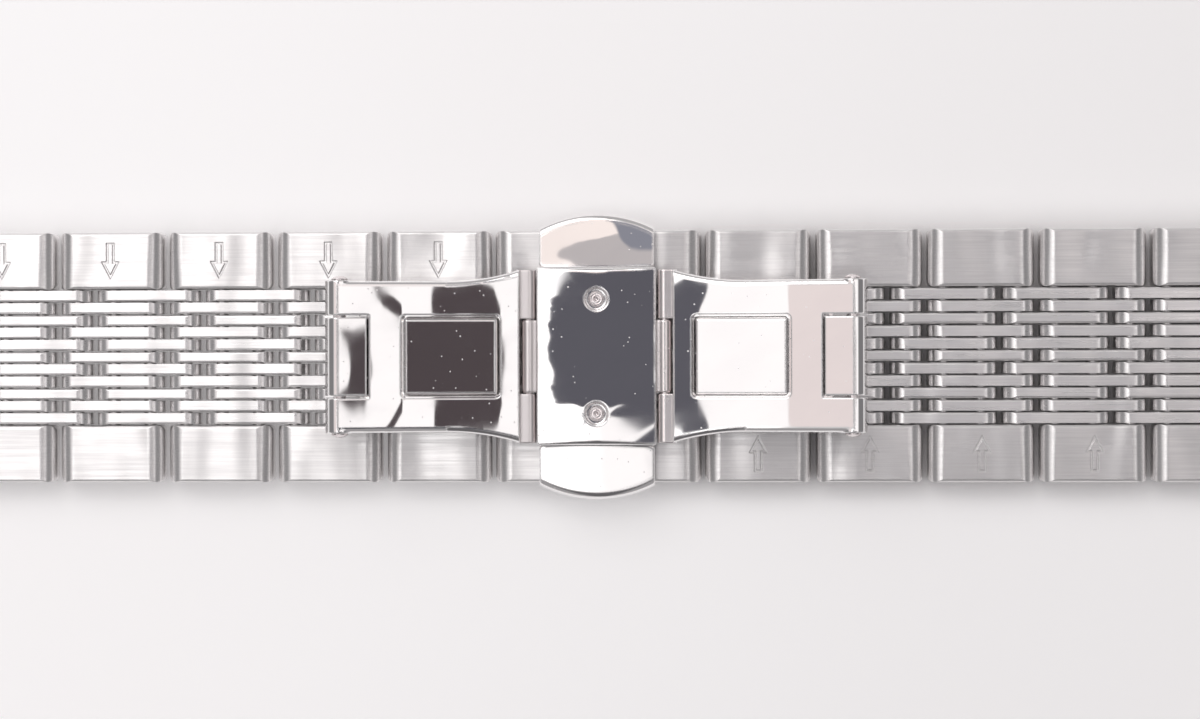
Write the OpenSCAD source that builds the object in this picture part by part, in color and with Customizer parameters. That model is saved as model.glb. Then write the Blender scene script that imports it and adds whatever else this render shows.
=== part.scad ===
// Steel bracelet for a wristwatch, closed by a hidden butterfly clasp with two push buttons.
// It lies flat on its outer face with the side that touches the wrist up. X runs along the
// bracelet, Y across it and Z up. The origin is under the middle of the clasp, on the surface
// that the bracelet lies on. The two halves are alike after half a turn about Z.

/* [Bracelet] */
// Width over the edge links
bracelet_w = 20; // [18:0.5:24]
// Length that one link adds to the bracelet
link_pitch = 8.8; // [8.4:0.1:10]
// Gap between neighbouring links
link_gap = 0.35; // [0.3:0.05:0.45]
// Full links on each side, between the clasp and the end link
links_per_side = 7; // [4:1:7]
// Links on each side, counted from the clasp, that can be taken out
removable_links = 5; // [0:1:7]

/* [Edge links] */
// Thickness of the edge links
link_t = 2.8; // [2.6:0.1:3.2]
// Width of one edge link, across the bracelet
edge_w = 4.55; // [4:0.05:5]
// Radius of the rolled ends of the edge links
edge_end_r = 1.25; // [0.6:0.05:1.25]
// Radius of the corners of an edge link, seen from above
edge_corner_r = 0.5; // [0.2:0.05:0.8]
// Radius along the long edges of an edge link
edge_side_r = 0.25; // [0.1:0.05:0.4]

/* [Centre rows] */
// Rows of narrow slats between the edge links
row_count = 11; // [9:2:13]
// Gap between neighbouring rows
row_gap = 0.1; // [0.08:0.01:0.14]
// Depth of the slats below both faces of the edge links
row_sink = 0.1; // [0.05:0.05:0.2]
// Radius of the rolled ends of the slats
row_end_r = 1.15; // [0.6:0.05:1.15]
// Radius along the long edges of a slat
row_side_r = 0.18; // [0.08:0.01:0.2]

/* [Link pins] */
// Radius of the pins through the links
link_pin_r = 0.5; // [0.4:0.05:0.55]
// Depth of the pins' ends below the sides of the bracelet
link_pin_sink = 0.3; // [0.1:0.1:1]
// Radial clearance of every pin in its holes
pin_clearance = 0.03; // [0.02:0.01:0.05]

/* [Arrow marks] */
// Length of the arrow on the wrist side of a removable edge link
arrow_l = 2.9; // [2:0.1:3.2]
// Length of the arrow's head
arrow_head_l = 1.4; // [1:0.1:1.6]
// Width of the arrow's head
arrow_head_w = 1.45; // [1:0.05:2]
// Width of the arrow's shaft
arrow_shaft_w = 0.65; // [0.4:0.05:0.9]
// Width of the groove that draws the arrow
arrow_line_w = 0.16; // [0.1:0.01:0.18]
// Depth of the groove
arrow_depth = 0.12; // [0.04:0.01:0.15]

/* [Clasp block] */
// Length of the base plate along the bracelet
block_l = 9.4; // [9.2:0.1:9.6]
// Width of the base plate across the bracelet
block_w = 14.12; // [13.8:0.04:15]
// Radius of the base plate's corners
block_corner_r = 0.3; // [0.1:0.05:0.6]
// Radius along the base plate's long edges, on the wrist side
block_edge_r = 0.45; // [0.2:0.05:0.45]
// Thickness of the base plate in its middle
base_t = 0.8; // [0.7:0.05:1]
// Radius of the crown on the base plate and on the buttons
crown_r = 90; // [75:5:200]
// Thickness of the guide plate
guide_t = 0.5; // [0.4:0.05:0.7]
// Room between the closed links and the guide plate
block_clearance = 0.15; // [0.1:0.05:0.3]
// Distance of each rivet from the middle of the clasp
rivet_y = 4.5; // [4.4:0.05:4.6]
// Radius of the rivets' shanks
rivet_r = 0.45; // [0.35:0.05:0.5]
// Radius of the rivets' heads
rivet_head_r = 0.62; // [0.56:0.02:0.7]
// Radius of the sunk ring round each rivet's head
rivet_ring_r = 0.88; // [0.8:0.02:1]
// Depth of the sunk ring
rivet_ring_depth = 0.3; // [0.2:0.05:0.4]

/* [Push buttons] */
// Width of a button's head along the bracelet
button_w = 9.1; // [8.6:0.1:9.3]
// Distance from the middle of the clasp to the top of a button's arch
button_reach = 11.3; // [11:0.1:13]
// Height of the arch at the end of a button
button_arch = 1.1; // [0.6:0.1:1.6]
// Radius of a button's upper outer edge
button_edge_r = 0.6; // [0.3:0.05:0.7]
// Thickness of a button's tongue
tongue_t = 0.95; // [0.9:0.05:1.2]
// Way that a button moves in when pressed
button_travel = 0.8; // [0.6:0.05:0.9]
// Clearance of a button above and below
slide_clearance = 0.05; // [0.03:0.01:0.08]

/* [Latch] */
// Distance of a hook's near side from the middle of the clasp, along the bracelet
hook_x = 3; // [2.8:0.1:3.2]
// Length of a hook along the bracelet
hook_l = 0.9; // [0.6:0.1:1]
// Reach of a hook's lip beyond its post
lip_reach = 0.5; // [0.3:0.05:0.6]
// Thickness of a hook's lip
lip_t = 0.4; // [0.3:0.05:0.45]
// Width of the button's bar that meets the lip
bar_w = 0.75; // [0.5:0.05:0.9]
// Clearance between a lip and its bar
latch_clearance = 0.04; // [0.03:0.01:0.06]

/* [Clasp arms] */
// Radius of the arms' wrist side
arm_bend_r = 75; // [68:1:90]
// Height of the arms' wrist side where it would meet the middle of the clasp
arm_rise = 5.25; // [5.2:0.05:5.6]
// Thickness of the arms
arm_t = 1.1; // [1:0.05:1.2]
// Half the width of an arm
arm_half_w = 5.95; // [5.6:0.05:6.4]
// Half the width of an arm where it meets the clasp block
arm_flare_half_w = 6.8; // [6.6:0.05:7]
// Distance from the middle of the clasp at which an arm stops widening
arm_flare_x = 11.7; // [10:0.1:13]
// Distance from the middle of the clasp to the near side of the window
window_x = 7.5; // [7.3:0.1:8]
// Length of the window
window_l = 7.7; // [6.5:0.1:7.9]
// Radius along the arms' long edges, on the wrist side
arm_edge_r = 0.4; // [0.2:0.05:0.6]
// Half the width of the window and of the outer notch
window_half_w = 3.25; // [3:0.05:3.5]
// Radius of the window's corners
window_corner_r = 0.4; // [0.2:0.05:0.8]
// Distance from the middle of the clasp to the outer hinge pin
outer_hinge_x = 20; // [19.8:0.1:20.4]
// Distance from the hinge pin back to the mouth of the outer notch
notch_back = 2.15; // [2.1:0.05:2.3]
// Radius of the knuckles on the outer hinge
outer_knuckle_r = 1.15; // [1.05:0.05:1.25]
// Radius of the outer hinge pin
arm_pin_r = 0.5; // [0.4:0.05:0.55]
// Radius of the outer hinge pin's heads
arm_pin_head_r = 0.64; // [0.6:0.02:0.8]
// Length of one head of the outer hinge pin
arm_pin_head_l = 0.35; // [0.2:0.05:0.5]

/* [Outer blades] */
// Thickness of the blades
blade_t = 1; // [0.9:0.05:1.1]
// Gap between an arm and its blade
blade_gap = 0.15; // [0.12:0.01:0.2]
// Half the width of a blade
blade_half_w = 5.75; // [5.5:0.05:5.9]
// Distance from the middle of the clasp to the near end of the blade
blade_near_x = 6; // [6:0.05:6.3]
// Length of the foot under the near end of the blade
foot_l = 2; // [1.5:0.1:2.4]
// Gap all round the raised pad in the arm's window
pad_gap = 0.2; // [0.18:0.01:0.3]
// Width of the chamfer round the pad's flat top
pad_chamfer = 0.2; // [0.1:0.05:0.3]

/* [Block hinges] */
// Gap between the base plate's end and the knuckles of the arms
block_hinge_gap = 0.08; // [0.06:0.01:0.12]
// Height of the block hinge pins
block_hinge_z = 4.4; // [4.35:0.05:4.45]
// Radius of the knuckles on the block hinges
block_knuckle_r = 0.57; // [0.54:0.01:0.58]
// Radius of the block hinge pins
block_pin_r = 0.3; // [0.25:0.01:0.32]
// Half the width of the base plate's knuckle
block_knuckle_half_w = 2.85; // [2.4:0.05:3.2]
// Gap between neighbouring knuckles
knuckle_gap = 0.1; // [0.08:0.01:0.15]

/* [Spring bars] */
// Distance from the start of the end link to the spring bar
spring_bar_x = 6; // [5.8:0.1:7]
// Radius of the spring bar's tube
tube_r = 0.9; // [0.85:0.01:0.95]
// Wall of the spring bar's tube
tube_wall = 0.2; // [0.15:0.01:0.22]
// Radius of the spring bar's tips
tip_r = 0.45; // [0.4:0.01:0.5]
// Reach of the tips beyond the sides of the end link
tip_reach = 1; // [0.8:0.1:1.2]
// Length of the collar that keeps a tip in the tube
tip_collar_l = 0.9; // [0.7:0.1:1.2]
// Clearance between the end link and the watch's lugs, on each side
lug_clearance = 0.1; // [0.05:0.05:0.2]

/* [Springs] */
// Radius of the wire in the button springs
button_wire_r = 0.1; // [0.08:0.01:0.12]
// Turns of a button spring
button_spring_turns = 4; // [3:1:5]
// Radius of the wire in the spring bars
bar_wire_r = 0.1; // [0.08:0.01:0.12]
// Turns of the spring in a spring bar
bar_spring_turns = 14; // [10:1:20]

/* [Hidden] */
SIDES = ["left", "right"];
ENDS = ["front", "back"];
LINKS = [for (k = [1:links_per_side]) k];
$fn = 48;
BIG_FN = 360;

POLISHED = [0.88, 0.87, 0.87];
BRUSHED = [0.76, 0.74, 0.74];
SPRING_STEEL = [0.6, 0.6, 0.62];

// Pins stand a third of the pitch apart, so the last pin of one link is the hinge of the next
pin_step = link_pitch / 3;
half_step = pin_step / 2;
half_gap = link_gap / 2;
axis_z = link_t / 2;
slat_t = link_t - 2 * row_sink;
link_hole_r = link_pin_r + pin_clearance;
half_w = bracelet_w / 2;
edge_inner_y = half_w - edge_w;
slat_w = (2 * edge_inner_y - (row_count + 1) * row_gap) / row_count;
row_pitch = slat_w + row_gap;

// The clasp link is cut short at the middle of the clasp, where it meets its twin. Its full
// length would reach a little past the middle.
block_half_l = block_l / 2;
block_hinge_x = block_half_l + block_hinge_gap + block_knuckle_r;
past_middle = 0.5;
first_link_x = link_pitch - past_middle;
clasp_link_x = first_link_x - link_pitch;
clasp_link_near_x = 0.1;
end_link_x = first_link_x + links_per_side * link_pitch;
bar_axis_x = end_link_x + spring_bar_x;
end_half_w = half_w - lug_clearance;

// Levels of the clasp block, from the links up
guide_z = link_t + block_clearance;
guide_top = guide_z + guide_t;
tongue_z = guide_top + slide_clearance;
tongue_top = tongue_z + tongue_t;
base_z = tongue_top + slide_clearance;
base_top = base_z + base_t;
wall_t = 0.45;
edge_room = 0.1;

// The lug of a blade stands in the second row from each side, and carries the hook
lug_y = row_pitch * ((row_count - 1) / 2 - 1);
hook_in_y = lug_y - slat_w / 2;
hook_out_y = lug_y + slat_w / 2;
lip_tip_y = hook_in_y - lip_reach;
lip_top = base_z - 2 * slide_clearance;
lip_z = lip_top - lip_t;
bar_out_y = lip_tip_y - latch_clearance;
bar_in_y = bar_out_y - bar_w;
bar_top = lip_z - slide_clearance;
bar_half_l = hook_x + hook_l + edge_room;
stem_half_l = hook_x - 0.6;
shoulder_y = hook_out_y + button_travel + edge_room;
guide_half_w = block_w / 2 - button_travel - edge_room;
guide_web_half_l = hook_x - 0.4;
guide_flange_y = hook_out_y + 2 * edge_room;
rib_half_w = 0.4;
head_near_y = block_w / 2 - edge_room / 2;
spring_room = bar_in_y - rib_half_w;
button_spring_r = (tongue_t - 2 * slide_clearance) / 2 - button_wire_r;

// The arms and blades are bent about one line, parallel to Y, high above the clasp
bend_z = arm_rise + arm_bend_r;
arm_back_r = arm_bend_r + arm_t;
blade_face_r = arm_back_r + blade_gap;
blade_back_r = blade_face_r + blade_t;
outer_hinge_r = arm_back_r + blade_gap / 3;
outer_hinge_z = bend_z - sqrt(pow(outer_hinge_r, 2) - pow(outer_hinge_x, 2));
arm_near_x = block_hinge_x + block_knuckle_r + knuckle_gap;
arm_near_z = bend_z - sqrt(pow(arm_back_r, 2) - pow(arm_near_x, 2));
notch_r = sqrt(pow(notch_back, 2) + pow(outer_knuckle_r, 2));
notch_gap = 0.15;
foot_z = link_t + block_clearance;

// The pad's flat top touches the arms' wrist side, which is bent, in the middle of the window
pad_x = window_x + window_l / 2;
pad_tilt = asin(pad_x / arm_bend_r);
pad_z = bend_z - arm_bend_r * cos(pad_tilt);
blade_far_x = outer_hinge_x - outer_knuckle_r - 0.35;
bend_h = 12;

// Spring bars
tube_half_l = end_half_w - 0.2;
crimp_l = 0.4;
tube_bore_r = tube_r - tube_wall;
neck_r = tip_r + 0.12;
crimp_r = neck_r + pin_clearance;
collar_out_y = tube_half_l - crimp_l - pin_clearance;
collar_r = tube_bore_r - pin_clearance;
tip_end_y = end_half_w + tip_reach;
collar_in_y = collar_out_y - tip_collar_l;

// Rectangle with round corners, standing on its lower left corner
module rounded_rect(l, w, r) {
    translate([r, 0]) square([l - 2 * r, w]);
    translate([0, r]) square([l, w - 2 * r]);
    for (x = [r, l - r], y = [r, w - r]) translate([x, y]) circle(r = r);
}

// Stands a flat outline, drawn in X and Z, up and stretches it along Y from y0 to y1
module along_y(y0, y1) {
    translate([0, y1, 0]) rotate([90, 0, 0]) linear_extrude(y1 - y0) children();
}

// Stretches a flat outline, drawn in Y and Z, along X from x0 to x1
module along_x(x0, x1) {
    translate([x0, 0, 0]) rotate([90, 0, 90]) linear_extrude(x1 - x0) children();
}

// Round bar along Y from y0 to y1
module bar_y(x, z, r, y0, y1) {
    translate([x, y1, z]) rotate([90, 0, 0]) cylinder(r = r, h = y1 - y0);
}

// Puts a shape drawn for the right side on either side
module on_side(side) {
    rotate([0, 0, side == "right" ? 0 : 180]) children();
}

// Puts a shape drawn for the back, at plus Y, on either end
module on_end(end) {
    rotate([0, 0, end == "back" ? 0 : 180]) children();
}

// Side view of a link piece from x0 to x1, t thick about the pins' height.
// A round near or far end is a half circle about the hinge pin there.
module side_view(x0, x1, t, r, near = "rolled", far = "rolled") {
    z0 = axis_z - t / 2;
    a = near == "round" ? x0 + t / 2 : x0 + r;
    b = far == "round" ? x1 - t / 2 : x1 - r;
    translate([a, z0]) square([b - a, t]);
    if (near == "round") {
        translate([a, axis_z]) circle(r = t / 2);
    } else {
        translate([x0, z0 + r]) square([a - x0, t - 2 * r]);
        for (z = [z0 + r, z0 + t - r]) translate([a, z]) circle(r = r);
    }
    if (far == "round") {
        translate([b, axis_z]) circle(r = t / 2);
    } else {
        translate([b, z0 + r]) square([x1 - b, t - 2 * r]);
        for (z = [z0 + r, z0 + t - r]) translate([b, z]) circle(r = r);
    }
}

// Arrow that points at the rows, drawn in by inset all round
module arrow(inset) {
    slope = atan(arrow_head_w / 2 / arrow_head_l);
    tip_y = inset / sin(slope) - arrow_l;
    barb_y = arrow_head_l - arrow_l - inset;
    barb_x = (barb_y - tip_y) * tan(slope);
    shaft_x = arrow_shaft_w / 2 - inset;
    polygon([
        [-shaft_x, -inset],
        [-shaft_x, barb_y],
        [-barb_x, barb_y],
        [0, tip_y],
        [barb_x, barb_y],
        [shaft_x, barb_y],
        [shaft_x, -inset]
    ]);
}

// One edge link at plus Y, with its holes at the places in holes
module edge_link(x0, x1, y0, y1, holes, near = "rolled", far = "rolled") {
    difference() {
        intersection() {
            along_y(y0, y1) side_view(x0, x1, link_t, edge_end_r, near, far);
            along_x(x0, x1) translate([y0, 0]) rounded_rect(y1 - y0, link_t, edge_side_r);
            translate([x0, y0, 0])
                linear_extrude(link_t) rounded_rect(x1 - x0, y1 - y0, edge_corner_r);
        }
        for (x = holes) bar_y(x, axis_z, link_hole_r, y0 - 1, y1 + 1);
    }
}

// Cuts the arrow's outline into an edge link's wrist side, around the middle of the link
module marked(x, y, on) {
    difference() {
        children();
        if (on)
            translate([x, y, link_t - arrow_depth]) difference() {
                linear_extrude(1) arrow(0);
                translate([0, 0, -1]) linear_extrude(3) arrow(arrow_line_w);
            }
    }
}

// One slat about y, with its holes at the places in holes
module slat(x0, x1, y, holes, near = "rolled", far = "rolled") {
    y0 = y - slat_w / 2;
    z0 = axis_z - slat_t / 2;
    difference() {
        intersection() {
            along_y(y0, y0 + slat_w) side_view(x0, x1, slat_t, row_end_r, near, far);
            along_x(x0, x1) translate([y0, z0]) rounded_rect(slat_w, slat_t, row_side_r);
        }
        for (x = holes) bar_y(x, axis_z, link_hole_r, y0 - 1, y0 + slat_w + 1);
    }
}

// Place of a row across the bracelet, counted from 1
function row_y(n) = (n - (row_count + 1) / 2) * row_pitch;

// Pins through a whole link
module link_pins(places, half_l) {
    for (x = places) bar_y(x, axis_z, link_pin_r, -half_l, half_l);
}

// Both edge links of the link that starts at x. The arrow is on the one at minus Y.
module link_edges(x, mark) {
    places = [x + half_step, x + half_step + pin_step, x + half_step + 2 * pin_step];
    x0 = x + half_gap;
    x1 = x + link_pitch - half_gap;
    arrow_y = half_w - (edge_w - arrow_l) / 2;
    edge_link(x0, x1, edge_inner_y, half_w, places);
    mirror([0, 1, 0])
        marked((x0 + x1) / 2, arrow_y, mark) edge_link(x0, x1, edge_inner_y, half_w, places);
}

// Slats of the link that starts at x. Odd rows reach one pin step back over the hinge.
module link_rows(x, near) {
    for (n = [1:2:row_count])
        slat(
            (near == "round") ? x - half_step - slat_t / 2 : x - pin_step + half_gap,
            x + 2 * pin_step - half_gap,
            row_y(n),
            [x - half_step, x + half_step, x + half_step + pin_step],
            near
        );
    for (n = [2:2:row_count])
        slat(
            x + half_gap,
            x + link_pitch - half_gap,
            row_y(n),
            [x + half_step, x + half_step + pin_step, x + half_step + 2 * pin_step]
        );
}

// Full link number k on one side: edge links
module full_link_edges(side, k) {
    color(BRUSHED) on_side(side)
        link_edges(first_link_x + (k - 1) * link_pitch, k <= removable_links);
}

// Full link number k on one side: slats, two fixed pins and the hinge pin of the next link
module full_link_rows_and_pins(side, k) {
    x = first_link_x + (k - 1) * link_pitch;
    color(BRUSHED) on_side(side) {
        link_rows(x, k == 1 ? "round" : "rolled");
        link_pins([for (i = [0:2]) x + half_step + i * pin_step], half_w - link_pin_sink);
    }
}

// Pins of the clasp link, the last of which is the hinge of the first full link
clasp_pins = [for (i = [0:2]) clasp_link_x + half_step + i * pin_step];
clasp_hinge_x = clasp_pins[2];

// Link under the clasp, which its blade carries: edge links
module clasp_link_edges(side) {
    color(BRUSHED) on_side(side) for (m = [0, 1]) mirror([0, m, 0])
        edge_link(
            clasp_link_near_x,
            clasp_hinge_x + link_t / 2,
            edge_inner_y,
            half_w,
            clasp_pins,
            "rolled",
            "round"
        );
}

// Link under the clasp: slats, without the two rows that are the blade's lugs
module clasp_link_rows(side) {
    color(BRUSHED) on_side(side) {
        for (n = [1:2:row_count])
            slat(
                clasp_link_near_x,
                clasp_link_x + 2 * pin_step - half_gap,
                row_y(n),
                [clasp_pins[0], clasp_pins[1]]
            );
        for (n = [4:2:row_count - 3])
            slat(
                clasp_link_near_x,
                clasp_hinge_x + slat_t / 2,
                row_y(n),
                clasp_pins,
                "rolled",
                "round"
            );
    }
}

// Link under the clasp: pins
module clasp_link_pins(side) {
    color(BRUSHED) on_side(side) link_pins(clasp_pins, half_w - link_pin_sink);
}

// Fixed pins of the end link: one a half step in, one halfway from there to the spring bar
end_pins = [end_link_x + half_step, (end_link_x + half_step + bar_axis_x) / 2];

// Hole for the spring bar through the end link
module spring_bar_hole() {
    bar_y(bar_axis_x, axis_z, tube_r + pin_clearance, -half_w, half_w);
}

// End link, which goes between the watch's lugs: edge links
module end_link_edges(side) {
    color(BRUSHED) on_side(side) difference() {
        for (m = [0, 1]) mirror([0, m, 0])
            edge_link(
                end_link_x + half_gap,
                bar_axis_x + link_t / 2,
                edge_inner_y,
                end_half_w,
                end_pins,
                "rolled",
                "round"
            );
        spring_bar_hole();
    }
}

// End link: slats and fixed pins
module end_link_rows_and_pins(side) {
    color(BRUSHED) on_side(side) {
        difference() {
            for (n = [1:row_count]) {
                odd = n % 2 == 1;
                slat(
                    odd ? end_link_x - pin_step + half_gap : end_link_x + half_gap,
                    bar_axis_x + slat_t / 2,
                    row_y(n),
                    odd ? concat([end_link_x - half_step], end_pins) : end_pins,
                    "rolled",
                    "round"
                );
            }
            spring_bar_hole();
        }
        link_pins(end_pins, end_half_w - link_pin_sink);
    }
}

// Tube of the spring bar, with both ends rolled in to keep the tips
module spring_bar_tube(side) {
    color(POLISHED) on_side(side) difference() {
        bar_y(bar_axis_x, axis_z, tube_r, -tube_half_l, tube_half_l);
        bar_y(bar_axis_x, axis_z, tube_bore_r, crimp_l - tube_half_l, tube_half_l - crimp_l);
        bar_y(bar_axis_x, axis_z, crimp_r, -half_w, half_w);
    }
}

// Tip of the spring bar at one end
module spring_bar_tip(side, end) {
    taper_l = tip_reach / 5;
    x = side == "right" ? bar_axis_x : -bar_axis_x;
    m = end == "back" ? 0 : 1;
    color(POLISHED) mirror([0, m, 0]) {
        bar_y(x, axis_z, collar_r, collar_in_y, collar_out_y);
        translate([x, collar_out_y, axis_z]) rotate([-90, 0, 0])
            cylinder(r1 = neck_r, r2 = tip_r, h = end_half_w - collar_out_y);
        bar_y(x, axis_z, tip_r, end_half_w, tip_end_y - taper_l);
        translate([x, tip_end_y - taper_l, axis_z]) rotate([-90, 0, 0])
            cylinder(r1 = tip_r, r2 = tip_r * 0.6, h = taper_l);
    }
}

// Coil along Y from y0 to y1, whose wire runs at radius r
module coil(x, z, y0, y1, r, wire, turns) {
    around = 10;
    sides = 5;
    rings = turns * around;
    rise = (y1 - y0 - 2 * wire) / rings;
    points = [
        for (i = [0:rings], j = [0:sides - 1])
        let (
            a = 360 * i / around,
            b = 360 * j / sides,
            reach = r + wire * cos(b)
        )
        [x + reach * cos(a), y0 + wire + i * rise + wire * sin(b), z + reach * sin(a)]
    ];
    walls = [
        for (i = [0:rings - 1], j = [0:sides - 1], half = [0, 1])
        let (
            here = i * sides + j,
            beside = i * sides + (j + 1) % sides
        )
        half == 0
            ? [here, here + sides, beside + sides]
            : [here, beside + sides, beside]
    ];
    first_cap = [for (j = [1:sides - 2]) [0, j, j + 1]];
    last_cap = [for (j = [1:sides - 2]) [rings * sides, rings * sides + j + 1, rings * sides + j]];
    polyhedron(points, concat(walls, first_cap, last_cap));
}

// Spring between the two tips, inside the tube
module spring_bar_spring(side) {
    color(SPRING_STEEL) on_side(side)
        coil(
            bar_axis_x,
            axis_z,
            pin_clearance - collar_in_y,
            collar_in_y - pin_clearance,
            tube_bore_r - bar_wire_r - 2 * pin_clearance,
            bar_wire_r,
            bar_spring_turns
        );
}

// Mirror-polished plate on the wrist side of the clasp, with a knuckle at each end
module base_plate() {
    knuckle_y = block_knuckle_half_w;
    web_h = 2 * block_knuckle_r - 0.3;
    flat_w = block_w - 2 * block_edge_r;
    side_h = base_t - crown_r + sqrt(pow(crown_r, 2) - pow(flat_w / 2, 2));
    color(POLISHED) difference() {
        union() {
            intersection() {
                translate([-block_half_l, -block_w / 2, base_z])
                    linear_extrude(base_t) rounded_rect(block_l, block_w, block_corner_r);
                translate([0, 0, base_top - crown_r]) sphere(r = crown_r, $fn = BIG_FN);
                along_x(-block_half_l, block_half_l) translate([-block_w / 2, base_z]) {
                    square([block_w, side_h - block_edge_r]);
                    translate([block_edge_r, 0]) square([flat_w, base_t]);
                    for (y = [block_edge_r, block_w - block_edge_r])
                        translate([y, side_h - block_edge_r]) circle(r = block_edge_r);
                }
            }
            for (side = SIDES) on_side(side) {
                bar_y(block_hinge_x, block_hinge_z, block_knuckle_r, -knuckle_y, knuckle_y);
                translate([block_half_l - wall_t, -knuckle_y, block_hinge_z - web_h / 2])
                    cube([block_hinge_x - block_half_l + wall_t, 2 * knuckle_y, web_h]);
            }
        }
        for (side = SIDES) on_side(side)
            bar_y(block_hinge_x, block_hinge_z, block_pin_r + pin_clearance, -half_w, half_w);
        for (y = [-rivet_y, rivet_y]) translate([0, y, 0]) {
            translate([0, 0, base_z - 1]) cylinder(r = rivet_r + pin_clearance, h = base_t + 2);
            translate([0, 0, base_top - rivet_ring_depth]) cylinder(r = rivet_ring_r, h = 1);
        }
    }
}

// Plate between the buttons and the links, with walls and a rib that carry the base plate
module guide_plate() {
    web_l = 2 * guide_web_half_l;
    color(BRUSHED) difference() {
        union() {
            translate([-guide_web_half_l, -guide_half_w, guide_z])
                cube([web_l, 2 * guide_half_w, guide_t]);
            translate([1 - guide_web_half_l, -rib_half_w, guide_z])
                cube([web_l - 2, 2 * rib_half_w, base_z - guide_z]);
            for (end = ENDS) on_end(end) {
                translate([-block_half_l, guide_flange_y, guide_z])
                    cube([block_l, guide_half_w - guide_flange_y, guide_t]);
                for (x = [-block_half_l, block_half_l - wall_t])
                    translate([x, guide_flange_y, guide_z])
                        cube([wall_t, guide_half_w - guide_flange_y, base_z - guide_z]);
            }
        }
        for (y = [-rivet_y, rivet_y]) translate([0, y, guide_z]) {
            translate([0, 0, -1]) cylinder(r = rivet_r + pin_clearance, h = guide_t + 2);
            translate([0, 0, -1]) cylinder(r = rivet_head_r + pin_clearance, h = 1 + guide_t / 2);
        }
    }
}

// Two rivets that hold the base plate to the guide plate and guide the buttons
module rivets() {
    head_z = base_top - rivet_ring_depth;
    head_t = rivet_ring_depth - 0.06;
    dimple_r = 0.16;
    color(POLISHED) for (y = [-rivet_y, rivet_y]) translate([0, y, 0]) {
        difference() {
            union() {
                translate([0, 0, guide_z]) cylinder(r = rivet_r, h = head_z - guide_z + head_t / 2);
                translate([0, 0, guide_z])
                    cylinder(r = rivet_head_r, h = guide_t / 2 - pin_clearance);
                translate([0, 0, head_z]) cylinder(r = rivet_head_r, h = head_t / 2);
                translate([0, 0, head_z + head_t / 2])
                    cylinder(r1 = rivet_head_r, r2 = rivet_head_r - head_t / 2, h = head_t / 2);
            }
            translate([0, 0, head_z + head_t]) sphere(r = dimple_r, $fn = 32);
        }
    }
}

// Pins of the hinges between the clasp block and the arms
module block_hinge_pins() {
    pin_half_l = arm_flare_half_w - edge_room;
    color(POLISHED) for (side = SIDES) on_side(side)
        bar_y(block_hinge_x, block_hinge_z, block_pin_r, -pin_half_l, pin_half_l);
}

// Button: an arched and crowned head, a tongue with a slot for the rivet, and the bar for the hooks
module push_button(end) {
    head_t = tongue_top - guide_z;
    chord = button_w / 2;
    arch_r = (pow(chord, 2) + pow(button_arch, 2)) / (2 * button_arch);
    slot_r = rivet_r + 2 * pin_clearance;
    crown_z = tongue_top - sqrt(pow(crown_r, 2) - pow(head_near_y, 2));
    rim_t = crown_z + sqrt(pow(crown_r, 2) - pow(button_reach - button_edge_r, 2)) - guide_z;
    low_r = min(button_edge_r, rim_t - button_edge_r) / 2;
    color(POLISHED) on_end(end) difference() {
        union() {
            intersection() {
                translate([0, button_reach - arch_r, guide_z]) rotate_extrude($fn = BIG_FN) {
                    square([arch_r - button_edge_r, head_t]);
                    translate([0, low_r]) square([arch_r, rim_t - low_r - button_edge_r]);
                    translate([arch_r - button_edge_r, rim_t - button_edge_r])
                        circle(r = button_edge_r);
                    translate([arch_r - low_r, low_r]) circle(r = low_r);
                    square([arch_r - low_r, low_r]);
                }
                translate([-chord, head_near_y, guide_z])
                    linear_extrude(head_t) rounded_rect(button_w, button_reach, 0.3);
                translate([0, 0, crown_z]) sphere(r = crown_r, $fn = BIG_FN);
            }
            translate([edge_room + wall_t - block_half_l, shoulder_y, tongue_z])
                cube([
                    2 * (block_half_l - wall_t - edge_room),
                    block_w / 2 - shoulder_y,
                    tongue_t
                ]);
            translate([-stem_half_l, bar_in_y, tongue_z])
                cube([2 * stem_half_l, shoulder_y + 1 - bar_in_y, tongue_t]);
            translate([-bar_half_l, bar_in_y, tongue_z])
                cube([2 * bar_half_l, bar_w, bar_top - tongue_z]);
        }
        translate([-slot_r, rivet_y, tongue_z - 1]) cube([2 * slot_r, button_travel, tongue_t + 2]);
        for (y = [rivet_y, rivet_y + button_travel])
            translate([0, y, tongue_z - 1]) cylinder(r = slot_r, h = tongue_t + 2);
    }
}

// Spring that pushes a button out from the guide plate's rib
module button_spring(end) {
    color(SPRING_STEEL) on_end(end)
        coil(
            0,
            tongue_z + tongue_t / 2,
            rib_half_w + pin_clearance,
            rib_half_w + spring_room - pin_clearance,
            button_spring_r,
            button_wire_r,
            button_spring_turns
        );
}

// Part of the bent sheet between two radii, over a flat outline drawn from above
module bent_sheet(r_in, r_out) {
    intersection() {
        difference() {
            bar_y(0, bend_z, r_out, -half_w, half_w, $fn = BIG_FN);
            bar_y(0, bend_z, r_in, -half_w - 1, half_w + 1, $fn = BIG_FN);
        }
        linear_extrude(bend_h) children();
    }
}

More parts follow.
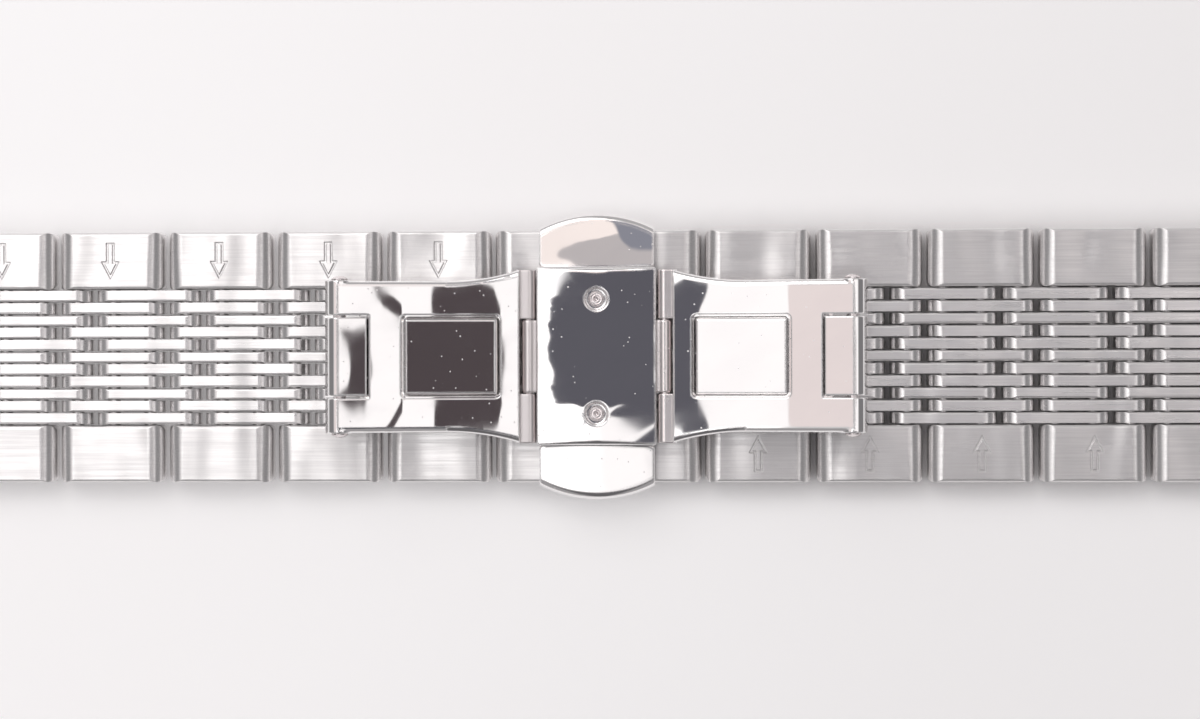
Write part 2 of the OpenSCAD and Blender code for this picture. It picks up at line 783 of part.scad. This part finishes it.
// Straight part of an arm: a bent bar whose long edges are rounded on the wrist side
module arm_straight() {
    intersection() {
        translate([0, 0, bend_z]) rotate([90, 0, 0]) rotate_extrude($fn = BIG_FN) {
            translate([arm_bend_r + arm_edge_r, -arm_half_w])
                square([arm_t - arm_edge_r, 2 * arm_half_w]);
            translate([arm_bend_r, arm_edge_r - arm_half_w])
                square([arm_t, 2 * (arm_half_w - arm_edge_r)]);
            for (m = [-1, 1]) translate([arm_bend_r + arm_edge_r, m * (arm_half_w - arm_edge_r)])
                circle(r = arm_edge_r);
        }
        translate([arm_flare_x, -half_w, 0]) cube([outer_hinge_x - arm_flare_x, 2 * half_w, bend_h]);
    }
}

// Part of an arm that widens in an arc towards the clasp block. The rings that round its
// edges lie in the plane that touches the wrist side halfway along it.
module arm_flare() {
    rise = arm_flare_half_w - arm_half_w;
    run = arm_flare_x - arm_near_x;
    flare_r = (pow(run, 2) + pow(rise, 2)) / (2 * rise);
    middle_x = arm_near_x + run / 2;
    tilt = asin(middle_x / arm_bend_r);
    difference() {
        bent_sheet(arm_bend_r, arm_back_r) difference() {
            translate([arm_near_x, -arm_flare_half_w]) square([run, 2 * arm_flare_half_w]);
            for (m = [-1, 1]) translate([arm_flare_x, m * (arm_half_w + flare_r)])
                circle(r = flare_r, $fn = BIG_FN);
        }
        translate([middle_x, 0, bend_z - arm_bend_r * cos(tilt)]) rotate([0, -tilt, 0])
            for (m = [-1, 1]) translate([run / 2, m * (arm_half_w + flare_r), -arm_edge_r])
                rotate_extrude($fn = BIG_FN) difference() {
                    translate([flare_r - 1, 0]) square([1 + arm_edge_r, 1 + arm_edge_r]);
                    translate([flare_r + arm_edge_r, 0]) circle(r = arm_edge_r);
                }
    }
}

// Polished arm, bent to the wrist, with a window, a notch and knuckles at both ends
module inner_arm(side) {
    knuckle_in_y = block_knuckle_half_w + knuckle_gap;
    knuckle_out_y = arm_flare_half_w;
    reach = arm_near_x - block_hinge_x + 0.3;
    color(POLISHED) on_side(side) difference() {
        union() {
            arm_straight();
            arm_flare();
            bar_y(outer_hinge_x, outer_hinge_z, outer_knuckle_r, -arm_half_w, arm_half_w);
            for (m = [0, 1]) mirror([0, m, 0]) {
                bar_y(block_hinge_x, block_hinge_z, block_knuckle_r, knuckle_in_y, knuckle_out_y);
                translate([block_hinge_x, knuckle_in_y, arm_near_z])
                    cube([
                        reach,
                        knuckle_out_y - knuckle_in_y,
                        block_hinge_z + block_knuckle_r - arm_near_z
                    ]);
            }
        }
        translate([window_x, -window_half_w, 0])
            linear_extrude(bend_h) rounded_rect(window_l, 2 * window_half_w, window_corner_r);
        bar_y(outer_hinge_x, outer_hinge_z, notch_r, -window_half_w, window_half_w);
        translate([outer_hinge_x, -window_half_w, 0]) cube([4, 2 * window_half_w, bend_h]);
        bar_y(outer_hinge_x, outer_hinge_z, arm_pin_r + pin_clearance, -half_w, half_w);
        bar_y(block_hinge_x, block_hinge_z, block_pin_r + pin_clearance, -half_w, half_w);
    }
}

// Pin of the hinge between an arm and its blade, with a round head at each end
module arm_pin(side) {
    head_y = arm_half_w + pin_clearance;
    head_end_y = head_y + arm_pin_head_l;
    dome_h = 2 * arm_pin_head_l / 3;
    dome_r = (pow(arm_pin_head_r, 2) + pow(dome_h, 2)) / (2 * dome_h);
    color(POLISHED) on_side(side) {
        bar_y(outer_hinge_x, outer_hinge_z, arm_pin_r, -head_y, head_y);
        for (m = [0, 1]) mirror([0, m, 0]) intersection() {
            bar_y(outer_hinge_x, outer_hinge_z, arm_pin_head_r, head_y, head_end_y);
            translate([outer_hinge_x, head_end_y - dome_r, outer_hinge_z]) sphere(r = dome_r);
        }
    }
}

// Lug of the blade, without its pin holes: a slat of the clasp link that carries a hook
module hook_lug() {
    root = 0.2;
    lug_neck = 0.6;
    top_z = link_t - row_sink;
    slat(
        clasp_link_near_x,
        clasp_hinge_x + slat_t / 2,
        lug_y,
        [],
        "rolled",
        "round"
    );
    translate([hook_x, hook_in_y, top_z - root])
        cube([hook_l, slat_w, lip_top - top_z + root]);
    translate([blade_near_x, hook_in_y, axis_z])
        cube([clasp_hinge_x + lug_neck - blade_near_x, slat_w, foot_z + root - axis_z]);
    along_x(hook_x, hook_x + hook_l)
        polygon([
            [hook_in_y + root, lip_z],
            [lip_tip_y, lip_z],
            [lip_tip_y, lip_z + lip_t / 2],
            [hook_in_y + root, lip_top]
        ]);
}

// Side view of a roof over the width 2 * r, flat with a chamfer at both ends
module roof_outline(r) {
    depth = bend_h;
    polygon([
        [-r - depth, -pad_chamfer - depth],
        [r + depth, -pad_chamfer - depth],
        [r - pad_chamfer, 0],
        [pad_chamfer - r, 0]
    ]);
}

// Pad that fills the arm's window: upright sides under a flat, chamfered and tilted top
module blade_pad() {
    pad_half_l = window_l / 2 - pad_gap;
    pad_half_w = window_half_w - pad_gap;
    intersection() {
        bar_y(0, bend_z, blade_back_r - blade_t / 2, -half_w, half_w, $fn = BIG_FN);
        translate([pad_x - pad_half_l, -pad_half_w, 0]) linear_extrude(bend_h)
            rounded_rect(2 * pad_half_l, 2 * pad_half_w, window_corner_r - pad_gap / 2);
        translate([pad_x, 0, pad_z]) rotate([0, -pad_tilt, 0]) intersection() {
            along_y(-half_w, half_w) roof_outline(pad_half_l / cos(pad_tilt));
            along_x(-half_w, half_w) roof_outline(pad_half_w);
        }
    }
}

// Polished blade behind an arm. Its pad fills the arm's window and its knuckle the notch,
// and a foot and two hooked lugs at its near end carry the clasp link.
module outer_blade(side) {
    knuckle_half_w = window_half_w - pad_gap;
    fill_r = notch_r - notch_gap;
    color(POLISHED) on_side(side) difference() {
        union() {
            bent_sheet(blade_face_r, blade_back_r)
                translate([blade_near_x, -blade_half_w])
                square([blade_far_x - blade_near_x, 2 * blade_half_w]);
            blade_pad();
            bar_y(
                outer_hinge_x,
                outer_hinge_z,
                outer_knuckle_r,
                -knuckle_half_w,
                knuckle_half_w
            );
            intersection() {
                bent_sheet(arm_bend_r, blade_back_r)
                    translate([blade_far_x - 2, -knuckle_half_w])
                    square([outer_hinge_x - blade_far_x + 2, 2 * knuckle_half_w]);
                bar_y(outer_hinge_x, outer_hinge_z, fill_r, -knuckle_half_w, knuckle_half_w);
            }
            difference() {
                translate([blade_near_x, -blade_half_w, foot_z])
                    cube([foot_l, 2 * blade_half_w, blade_t]);
                bar_y(0, bend_z, blade_face_r, -half_w, half_w, $fn = BIG_FN);
            }
            for (m = [0, 1]) mirror([0, m, 0]) hook_lug();
        }
        bar_y(outer_hinge_x, outer_hinge_z, arm_pin_r + pin_clearance, -half_w, half_w);
        for (x = clasp_pins) bar_y(x, axis_z, link_hole_r, -half_w, half_w);
    }
}

base_plate();
guide_plate();
rivets();
block_hinge_pins();
for (end = ENDS) {
    push_button(end);
    button_spring(end);
}
for (side = SIDES) {
    inner_arm(side);
    arm_pin(side);
    outer_blade(side);
    clasp_link_edges(side);
    clasp_link_rows(side);
    clasp_link_pins(side);
    end_link_edges(side);
    end_link_rows_and_pins(side);
    spring_bar_tube(side);
    spring_bar_spring(side);
}
for (side = SIDES, k = LINKS) {
    full_link_edges(side, k);
    full_link_rows_and_pins(side, k);
}
for (side = SIDES, end = ENDS) {
    spring_bar_tip(side, end);
}
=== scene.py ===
import math

import bpy
from mathutils import Euler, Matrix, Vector


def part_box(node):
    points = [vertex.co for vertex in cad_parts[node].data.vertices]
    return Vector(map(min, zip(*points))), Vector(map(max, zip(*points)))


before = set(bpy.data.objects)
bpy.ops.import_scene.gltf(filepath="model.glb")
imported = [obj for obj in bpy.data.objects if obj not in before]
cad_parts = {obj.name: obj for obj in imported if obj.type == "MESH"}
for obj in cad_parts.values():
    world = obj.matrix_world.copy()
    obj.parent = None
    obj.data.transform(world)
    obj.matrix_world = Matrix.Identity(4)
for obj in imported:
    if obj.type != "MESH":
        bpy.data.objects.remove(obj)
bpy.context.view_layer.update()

MM = 0.001

# View of the photograph: 12.6 pixels to a millimetre at the top of the links
IMAGE_W = 1200
PIXELS_PER_MM = 12.6
VIEW_DISTANCE = 200 * MM
LINK_TOP = 2.8 * MM
CAMERA_X = 10 * MM
SENSOR_W_MM = 36
CLASP_LEFT_PX = 2.3
CLASP_UP_PX = 3.5
ROLL_DEG = -0.14
NEAR_CLIP = 5 * MM
FAR_CLIP = 20

# Range that nearly all values of a noise lie in
NOISE_SPAN = (0.3, 0.7)


def add_camera():
    """Camera above the clasp, a little to its right, that looks at the middle of the picture."""
    target = Vector((CLASP_LEFT_PX, -CLASP_UP_PX, 0)) * MM / PIXELS_PER_MM
    target.z = LINK_TOP
    place = Vector((CAMERA_X, target.y, LINK_TOP + VIEW_DISTANCE))
    data = bpy.data.cameras.new("camera")
    data.sensor_width = SENSOR_W_MM
    focus_px = PIXELS_PER_MM * (place - target).length / MM
    data.lens = focus_px * SENSOR_W_MM / IMAGE_W
    data.clip_start = NEAR_CLIP
    data.clip_end = FAR_CLIP
    camera = bpy.data.objects.new("camera", data)
    camera.location = place
    tilt = math.atan2(place.x - target.x, VIEW_DISTANCE)
    camera.rotation_euler = Euler((0, tilt, math.radians(ROLL_DEG)), "ZYX")
    bpy.context.scene.collection.objects.link(camera)
    bpy.context.scene.camera = camera


class Shader:
    """Short forms for adding nodes to the tree of a material or of the world."""

    def __init__(self, tree):
        self.nodes = tree.nodes
        self.links = tree.links

    def add(self, kind, **settings):
        node = self.nodes.new("ShaderNode" + kind)
        for name, value in settings.items():
            setattr(node, name, value)
        return node

    def feed(self, socket, value):
        """Links an output to a socket, or sets the socket to a number or colour."""
        if isinstance(value, bpy.types.NodeSocket):
            self.links.new(value, socket)
        else:
            socket.default_value = value

    def math(self, operation, a, b=0.0):
        node = self.add("Math", operation=operation)
        self.feed(node.inputs[0], a)
        self.feed(node.inputs[1], b)
        return node.outputs[0]

    def ramp(self, value, low, high, to_low=0.0, to_high=1.0):
        """Smooth step of a value from one range into another."""
        node = self.add("MapRange", interpolation_type="SMOOTHSTEP")
        self.feed(node.inputs["Value"], value)
        self.feed(node.inputs["From Min"], low)
        self.feed(node.inputs["From Max"], high)
        self.feed(node.inputs["To Min"], to_low)
        self.feed(node.inputs["To Max"], to_high)
        return node.outputs["Result"]

    def window(self, value, span, soft):
        """One inside the span, none outside it, with soft borders."""
        low, high = span
        return self.math(
            "MULTIPLY",
            self.ramp(value, low - soft, low + soft),
            self.ramp(value, high - soft, high + soft, 1.0, 0.0),
        )

    def beyond_box(self, place, spans, margin):
        """Distance of a place from the box that lies a margin inside the two spans."""
        total = 0.0
        for value, (low, high) in zip(place, spans):
            off_centre = self.math("ABSOLUTE", self.math("SUBTRACT", value, (low + high) / 2))
            excess = self.math("SUBTRACT", off_centre, (high - low) / 2 - margin)
            outside = self.math("MAXIMUM", excess)
            total = self.math("ADD", self.math("MULTIPLY", outside, outside), total)
        return self.math("SQRT", total)

    def blend(self, share, a, b):
        """Mix of two colours."""
        node = self.add("Mix", data_type="RGBA")
        self.feed(node.inputs["Factor"], share)
        sockets = [socket for socket in node.inputs if socket.type == "RGBA"]
        self.feed(sockets[0], a)
        self.feed(sockets[1], b)
        return [socket for socket in node.outputs if socket.type == "RGBA"][0]

    def split(self, vector):
        node = self.add("SeparateXYZ")
        self.feed(node.inputs[0], vector)
        return node.outputs["X"], node.outputs["Y"], node.outputs["Z"]

    def noise(self, place, detail=2.0, roughness=0.5):
        """Noise of features that are one unit long in the coordinates given."""
        node = self.add("TexNoise")
        self.feed(node.inputs["Vector"], place)
        node.inputs["Scale"].default_value = 1.0
        node.inputs["Detail"].default_value = detail
        node.inputs["Roughness"].default_value = roughness
        return node.outputs["Fac"]

    def stretched(self, place, turn_deg, lengths_mm):
        """Coordinates in which a noise has features of these lengths, turned about Z."""
        node = self.add("Mapping", vector_type="TEXTURE")
        self.feed(node.inputs["Vector"], place)
        node.inputs["Rotation"].default_value = (0, 0, math.radians(turn_deg))
        node.inputs["Scale"].default_value = [length * MM for length in lengths_mm]
        return node.outputs["Vector"]

    def seen_directly(self):
        """One for what the camera sees, also in metal and through glass, and zero for light."""
        rays = self.add("LightPath").outputs
        mirrored = self.math("MAXIMUM", rays["Is Glossy Ray"], rays["Is Transmission Ray"])
        return self.math("MAXIMUM", rays["Is Camera Ray"], mirrored)

    def bump(self, height, depth_mm, under=None):
        """Normal of a relief, on top of another normal if one is given."""
        node = self.add("Bump")
        self.feed(node.inputs["Height"], height)
        node.inputs["Strength"].default_value = 1.0
        node.inputs["Distance"].default_value = depth_mm * MM
        if under is not None:
            self.feed(node.inputs["Normal"], under)
        return node.outputs["Normal"]

    def worn_edge(self, radius_mm):
        """Normal that rounds the edges off, as polishing does."""
        node = self.add("Bevel", samples=8)
        node.inputs["Radius"].default_value = radius_mm * MM
        return node.outputs["Normal"]


def new_metal(name):
    """Material with a metal shader, and the short forms for its tree."""
    material = bpy.data.materials.new(name)
    material.use_nodes = True
    shader = Shader(material.node_tree)
    metal = material.node_tree.nodes["Principled BSDF"]
    metal.inputs["Metallic"].default_value = 1.0
    place = shader.add("TexCoord").outputs["Object"]
    return material, shader, metal, place


def hairlines(shader, place, turn_deg, length_mm, width_mm, share):
    """Mask of fine scratches in one direction. A larger share means more of them."""
    threshold = 0.8 - share
    soft = 0.08
    size_mm = (length_mm, width_mm, width_mm)
    lines = shader.noise(shader.stretched(place, turn_deg, size_mm), detail=1.0)
    return shader.ramp(lines, threshold, threshold + soft)


def satin_knuckles(shader, place):
    """Roughness of the strips with the block's hinges, which aren't polished, and zero elsewhere.
    The right strip is worn brighter than the left one."""
    strip_width = 1.2 * MM
    strip_spare = 0.1 * MM
    soft = 0.03 * MM
    middle = 1 * MM
    left_rough = 0.34
    right_rough = 0.24
    far_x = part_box("base_plate")[1][0]
    x, _, _ = shader.split(place)
    span = (far_x - strip_width, far_x + strip_spare)
    strip = shader.window(shader.math("ABSOLUTE", x), span, soft)
    rough = shader.ramp(x, -middle, middle, left_rough, right_rough)
    return shader.math("MULTIPLY", strip, rough)


def polished_steel(name, edge_mm):
    """Mirror finish with faint wiping marks, hairlines and dust, on faces that wave a little."""
    clean = (0.95, 0.935, 0.93, 1)
    smudged = (0.92, 0.905, 0.905, 1)
    satin_colour = (0.93, 0.88, 0.875, 1)
    clean_rough = 0.015
    smudged_rough = 0.04
    line_rough = 0.04
    dust_rough = 0.5
    dust_spacing_mm = (0.75, 0.75, 0.75)
    dust_size = (0.04, 0.1)
    wave_depth_mm = 0.006
    material, shader, metal, place = new_metal(name)
    smudge = shader.noise(shader.stretched(place, 25, (6, 3, 3)), detail=3.0)
    wave = shader.noise(shader.stretched(place, -20, (9, 7, 7)), detail=1.0)
    colour = shader.blend(shader.ramp(smudge, *NOISE_SPAN), clean, smudged)
    lines = shader.math(
        "MAXIMUM",
        hairlines(shader, place, turn_deg=12, length_mm=4, width_mm=0.05, share=0.04),
        hairlines(shader, place, turn_deg=-58, length_mm=3, width_mm=0.04, share=0.02),
    )
    dust = shader.add("TexVoronoi", feature="F1")
    shader.feed(dust.inputs["Vector"], shader.stretched(place, 0, dust_spacing_mm))
    dust.inputs["Scale"].default_value = 1.0
    speck = shader.ramp(dust.outputs["Distance"], *dust_size, 1.0, 0.0)
    knuckles = satin_knuckles(shader, place)
    rough = shader.ramp(smudge, 0.35, 0.75, clean_rough, smudged_rough)
    rough = shader.math("ADD", rough, shader.math("MULTIPLY", lines, line_rough))
    rough = shader.math("ADD", rough, shader.math("MULTIPLY", speck, dust_rough))
    rough = shader.math("MAXIMUM", rough, knuckles)
    satin = shader.ramp(knuckles, 0.0, 0.1)
    shader.feed(metal.inputs["Base Color"], shader.blend(satin, colour, satin_colour))
    shader.feed(metal.inputs["Roughness"], rough)
    normal = shader.bump(wave, wave_depth_mm, shader.worn_edge(edge_mm))
    shader.feed(metal.inputs["Normal"], normal)
    return material


def brushed_steel(name, bright, dull, roughness, grain_mm, depth_mm, edge_mm, sway_mm=0.0):
    """Satin finish with a grain along the bracelet, in coarse and fine streaks. The grain lies
    along X, so it spreads what it mirrors along Y. Sway is the depth of the shallow waves in
    which the faces of the links depart from flat."""
    coarse_size_mm = (8, grain_mm * 3, grain_mm * 3)
    fine_size_mm = (4, grain_mm, grain_mm)
    sway_size_mm = (5, 9, 9)
    coarse_share = 0.45
    rough_spread = 0.05
    material, shader, metal, place = new_metal(name)
    coarse = shader.noise(shader.stretched(place, 0, coarse_size_mm), detail=2.0)
    fine = shader.noise(shader.stretched(place, 0, fine_size_mm), detail=3.0, roughness=0.6)
    streak = shader.math(
        "ADD",
        shader.math("MULTIPLY", coarse, coarse_share),
        shader.math("MULTIPLY", fine, 1 - coarse_share),
    )
    shader.feed(
        metal.inputs["Base Color"], shader.blend(shader.ramp(streak, 0.35, 0.65), dull, bright)
    )
    shader.feed(
        metal.inputs["Roughness"],
        shader.ramp(coarse, *NOISE_SPAN, roughness + rough_spread, roughness - rough_spread),
    )
    across = shader.add("CombineXYZ")
    across.inputs["Y"].default_value = 1.0
    shader.feed(metal.inputs["Tangent"], across.outputs["Vector"])
    metal.inputs["Anisotropic"].default_value = 0.7
    normal = shader.bump(streak, depth_mm, shader.worn_edge(edge_mm))
    if sway_mm:
        wave = shader.noise(shader.stretched(place, 0, sway_size_mm), detail=1.0)
        normal = shader.bump(wave, sway_mm, normal)
    shader.feed(metal.inputs["Normal"], normal)
    return material


def turned_steel():
    """Pins and rivets: rings from the lathe round the rivets' axes, satin elsewhere."""
    material, shader, metal, place = new_metal("turned_steel")
    low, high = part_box("rivets")
    rivet_y = (high[1] - low[1]) / 2 - (high[0] - low[0]) / 2
    ring_step = 0.2 * MM
    ring_depth_mm = 0.006
    worn_mm = 0.05
    dull = (0.8, 0.74, 0.74, 1)
    bright = (0.9, 0.85, 0.85, 1)
    x, y, _ = shader.split(place)
    across = shader.math("SUBTRACT", shader.math("ABSOLUTE", y), rivet_y)
    squares = shader.math(
        "ADD", shader.math("MULTIPLY", across, across), shader.math("MULTIPLY", x, x)
    )
    radius = shader.math("SQRT", squares)
    rings = shader.math("SINE", shader.math("MULTIPLY", radius, 2 * math.pi / ring_step))
    grain = shader.noise(shader.stretched(place, 0, (0.3, 0.3, 0.3)), detail=3.0)
    shader.feed(
        metal.inputs["Base Color"], shader.blend(shader.ramp(grain, *NOISE_SPAN), dull, bright)
    )
    shader.feed(metal.inputs["Roughness"], shader.ramp(grain, *NOISE_SPAN, 0.16, 0.28))
    normal = shader.bump(rings, ring_depth_mm, shader.worn_edge(worn_mm))
    shader.feed(metal.inputs["Normal"], normal)
    return material


def spring_wire():
    """Drawn wire, darker and duller than the rest."""
    material, shader, metal, place = new_metal("spring_wire")
    grain = shader.noise(shader.stretched(place, 0, (0.15, 0.15, 0.15)))
    dull = (0.42, 0.42, 0.44, 1)
    bright = (0.62, 0.62, 0.64, 1)
    shader.feed(metal.inputs["Base Color"], shader.blend(grain, dull, bright))
    shader.feed(metal.inputs["Roughness"], shader.ramp(grain, *NOISE_SPAN, 0.25, 0.4))
    return material


def finish_nodes():
    """Gives every CAD node the finish of its kind."""
    plate = polished_steel("polished_plate", 0.3)
    mirror = polished_steel("polished_arms", 0.2)
    edge = brushed_steel(
        "brushed_edge_links",
        (0.94, 0.925, 0.92, 1),
        (0.84, 0.825, 0.825, 1),
        roughness=0.34,
        grain_mm=0.05,
        depth_mm=0.003,
        edge_mm=0.1,
        sway_mm=0.5,
    )
    slat = brushed_steel(
        "satin_slats",
        (0.98, 0.965, 0.96, 1),
        (0.9, 0.885, 0.885, 1),
        roughness=0.32,
        grain_mm=0.04,
        depth_mm=0.002,
        edge_mm=0.05,
        sway_mm=0.4,
    )
    guide = brushed_steel(
        "brushed_guide_plate",
        (0.82, 0.8, 0.8, 1),
        (0.68, 0.66, 0.66, 1),
        roughness=0.35,
        grain_mm=0.06,
        depth_mm=0.004,
        edge_mm=0.05,
    )
    turned = turned_steel()
    wire = spring_wire()
    kinds = (
        ("button_spring", wire),
        ("spring_bar_spring", wire),
        ("base_plate", plate),
        ("push_button", plate),
        ("inner_arm", mirror),
        ("outer_blade", mirror),
        ("guide_plate", guide),
        ("rivets", turned),
        ("block_hinge_pins", turned),
        ("arm_pin", turned),
        ("spring_bar", turned),
        ("clasp_link_left_pins", turned),
        ("clasp_link_right_pins", turned),
    )
    for name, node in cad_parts.items():
        found = [material for start, material in kinds if name.startswith(start)]
        material = found[0] if found else edge if name.endswith("_edges") else slat
        for slot in node.material_slots:
            slot.material = material


def add_floor():
    """Pale table top under the bracelet. The camera and the steel see it a little brighter than
    it is lit, most so at the left and at the back, and least in the bracelet's shade and between
    its links."""
    half = 1.5
    dull = (0.86, 0.845, 0.845, 1)
    pale = (0.88, 0.87, 0.872, 1)
    glow_colour = (1.0, 0.985, 0.99, 1)
    lift_span = 60 * MM
    gap_span = 20 * MM
    back_share = 0.4
    left_lift = 0.4
    right_lift = 0.3
    left_gap_share = 0.5
    right_gap_share = 0.05
    shade_reach = 3 * MM
    shade_power = 2.0
    mesh = bpy.data.meshes.new("table_top")
    corners = [(-half, -half, 0), (half, -half, 0), (half, half, 0), (-half, half, 0)]
    mesh.from_pydata(corners, [], [(0, 1, 2, 3)])
    floor = bpy.data.objects.new("table_top", mesh)
    bpy.context.scene.collection.objects.link(floor)
    material = bpy.data.materials.new("pale_table")
    material.use_nodes = True
    shader = Shader(material.node_tree)
    paint = material.node_tree.nodes["Principled BSDF"]
    paint.inputs["Roughness"].default_value = 0.75
    paint.inputs["Specular IOR Level"].default_value = 0.2
    place = shader.add("TexCoord").outputs["Object"]
    cloud = shader.noise(shader.stretched(place, 0, (60, 60, 60)), detail=1.0)
    shader.feed(
        paint.inputs["Base Color"], shader.blend(shader.ramp(cloud, *NOISE_SPAN), dull, pale)
    )
    seen = shader.seen_directly()
    open_sky = shader.add("AmbientOcclusion", samples=8)
    open_sky.inputs["Distance"].default_value = shade_reach
    x, y, _ = shader.split(place)
    lean = shader.math("SUBTRACT", x, shader.math("MULTIPLY", y, back_share))
    lift = shader.ramp(lean, -lift_span, lift_span, left_lift, right_lift)
    gap_share = shader.ramp(x, -gap_span, gap_span, left_gap_share, right_gap_share)
    openness = shader.math("POWER", open_sky.outputs["AO"], shade_power)
    glow = shader.math("MULTIPLY", lift, shader.ramp(openness, 0, 1, gap_share, 1.0))
    paint.inputs["Emission Color"].default_value = glow_colour
    shader.feed(paint.inputs["Emission Strength"], shader.math("MULTIPLY", seen, glow))
    floor.data.materials.append(material)


def add_world():
    """Studio sky: white cards and dark flags with round corners, given as ranges of two angles in
    degrees. The first leans from straight up towards +X and the second towards +Y. Then come the
    corners' radius, the blur of the edge, and how far the sides bend along X in degrees for each
    ten degrees squared across. Later cards cover earlier ones. Along the horizon the camera and
    the steel see a pale backdrop."""
    white = (1.08, 1.05, 1.05, 1)
    slate = (0.11, 0.108, 0.128, 1)
    brown = (0.08, 0.065, 0.07, 1)
    ashen = (0.26, 0.265, 0.31, 1)
    cards = (
        ("softbox over the left half", (-21.5, -4), (-90, 90), 2, 2.5, 0, (1.6, 1.58, 1.58, 1)),
        ("grey wall beyond it", (-46, -21.5), (-90, 90), 2, 2, 0, (0.62, 0.61, 0.615, 1)),
        ("flag over the right half", (5, 26), (-90, 90), 2.5, 2.5, 0, (0.1, 0.1, 0.11, 1)),
        ("its paler back", (5, 26), (0.5, 90), 2, 2, 0, (0.95, 0.885, 0.88, 1)),
        ("slit of light in it", (9.2, 10.8), (-90, 90), 0.5, 0.5, 0, (1.05, 1.03, 1.03, 1)),
        ("rose card for the right arm", (-36, -21.6), (-4, 4), 0.4, 0.4, 0, (0.83, 0.74, 0.73, 1)),
        ("light for the right arm", (-21.6, -12.5), (-4, 4), 0.3, 0.3, 0, white),
        ("flag for the right arm's foot", (-12.9, -10.3), (-2, 1.95), 0.6, 0.07, 25, slate),
        ("its streak of light", (-12.3, -11.7), (-0.5, 0.3), 0.3, 0.2, 0, (0.45, 0.44, 0.45, 1)),
        ("flag for the clasp", (-7.9, 4.7), (-5.9, 8.2), 0.6, 0.1, -2, slate),
        ("its upper end", (-7.4, 4.7), (4, 11.6), 0.5, 0.1, -41, slate),
        ("its lower end", (0.1, 6.5), (-7.9, -4), 1.1, 0.1, 0, slate),
        ("its lower right corner", (0.6, 6), (-11.2, -8.2), 0.3, 0.25, -90, slate),
        ("flag for the lower rivet", (-6.2, -4.4), (-8.4, -7.1), 0.6, 0.15, -8, slate),
        ("warm card for the back button", (-14, 1), (11.4, 30), 2, 1, 0, (1.0, 0.9, 0.86, 1)),
        ("grey card below it", (-7.8, 8), (10.9, 14.9), 0.4, 0.35, -196, (0.52, 0.485, 0.49, 1)),
        ("flag for the back button", (-2, 7), (13.3, 25), 0.8, 0.3, -9, ashen),
        ("strip of light for the left arm", (4.75, 45), (-3.2, 3.2), 0.1, 0.05, 0, white),
        ("flag for the left arm's window", (5.7, 12.7), (-1.85, 1.85), 1.2, 0.07, -35, brown),
        ("flag behind the left arm's notch", (18.6, 21.1), (-0.85, 0.95), 0.3, 0.06, -90, brown),
        ("edge of the left arm's bend", (15.2, 16.1), (-1.9, 1.9), 0.3, 0.06, -80, brown),
        ("dark end of the room, left", (-130, -40), (-180, 180), 6, 6, 0, (0.22, 0.215, 0.22, 1)),
        ("dark end of the room, right", (37, 130), (-180, 180), 6, 6, 0, (0.2, 0.195, 0.2, 1)),
        ("dark side in front", (-180, 180), (-130, -23), 5, 5, 0, (0.33, 0.32, 0.325, 1)),
        ("dark side at the back", (-180, 180), (34, 130), 5, 5, 0, (0.42, 0.41, 0.415, 1)),
        ("darkest part of the front", (-16, 12), (-85, -19), 3, 2, 0, (0.13, 0.125, 0.13, 1)),
    )
    wobble_deg = 1.3
    horizon = (0.3, 0.295, 0.3, 1)
    backdrop = (0.8, 0.785, 0.785, 1)
    backdrop_height = (0.08, 0.22)
    world = bpy.data.worlds.new("studio")
    bpy.context.scene.world = world
    world.use_nodes = True
    shader = Shader(world.node_tree)
    sky = world.node_tree.nodes["Background"]
    place = shader.add("TexCoord").outputs["Generated"]
    x, y, z = shader.split(place)
    wobble_x = shader.noise(shader.stretched(place, 0, (60, 60, 60)))
    wobble_y = shader.noise(shader.stretched(place, 50, (75, 75, 75)))
    angles = []
    for lean, wobble in ((x, wobble_x), (y, wobble_y)):
        angle = shader.math("MULTIPLY", shader.math("ARCTAN2", lean, z), 180 / math.pi)
        shift = shader.math("MULTIPLY", shader.math("SUBTRACT", wobble, 0.5), wobble_deg)
        angles.append(shader.math("ADD", angle, shift))
    along, across = angles
    colour = white
    for _, span_along, span_across, corner, blur, bend, radiance in cards:
        bent = along
        if bend:
            offset = shader.math("SUBTRACT", across, sum(span_across) / 2)
            square = shader.math("MULTIPLY", offset, offset)
            bent = shader.math("ADD", along, shader.math("MULTIPLY", square, bend / 10**2))
        margin = max(corner, blur)
        beyond = shader.beyond_box((bent, across), (span_along, span_across), margin)
        mask = shader.ramp(beyond, margin - blur, margin + blur, 1.0, 0.0)
        colour = shader.blend(mask, colour, radiance)
    rim = shader.blend(shader.seen_directly(), horizon, backdrop)
    above = shader.ramp(z, *backdrop_height)
    shader.feed(sky.inputs["Color"], shader.blend(above, rim, colour))
    sky.inputs["Strength"].default_value = 1.0


def add_key_light():
    """Wide soft lamp behind and to the left, for the shadow along the front edge."""
    side = 0.35
    watts = 0.5
    place = (-0.18, 0.3, 0.4)
    data = bpy.data.lights.new("key", "AREA")
    data.shape = "SQUARE"
    data.size = side
    data.energy = watts
    data.color = (1.0, 0.985, 0.98)
    light = bpy.data.objects.new("key", data)
    light.location = place
    light.rotation_euler = (-light.location).to_track_quat("-Z", "Y").to_euler()
    bpy.context.scene.collection.objects.link(light)


add_camera()
add_world()
add_key_light()
add_floor()
finish_nodes()
bpy.context.scene.view_settings.view_transform = "Standard"
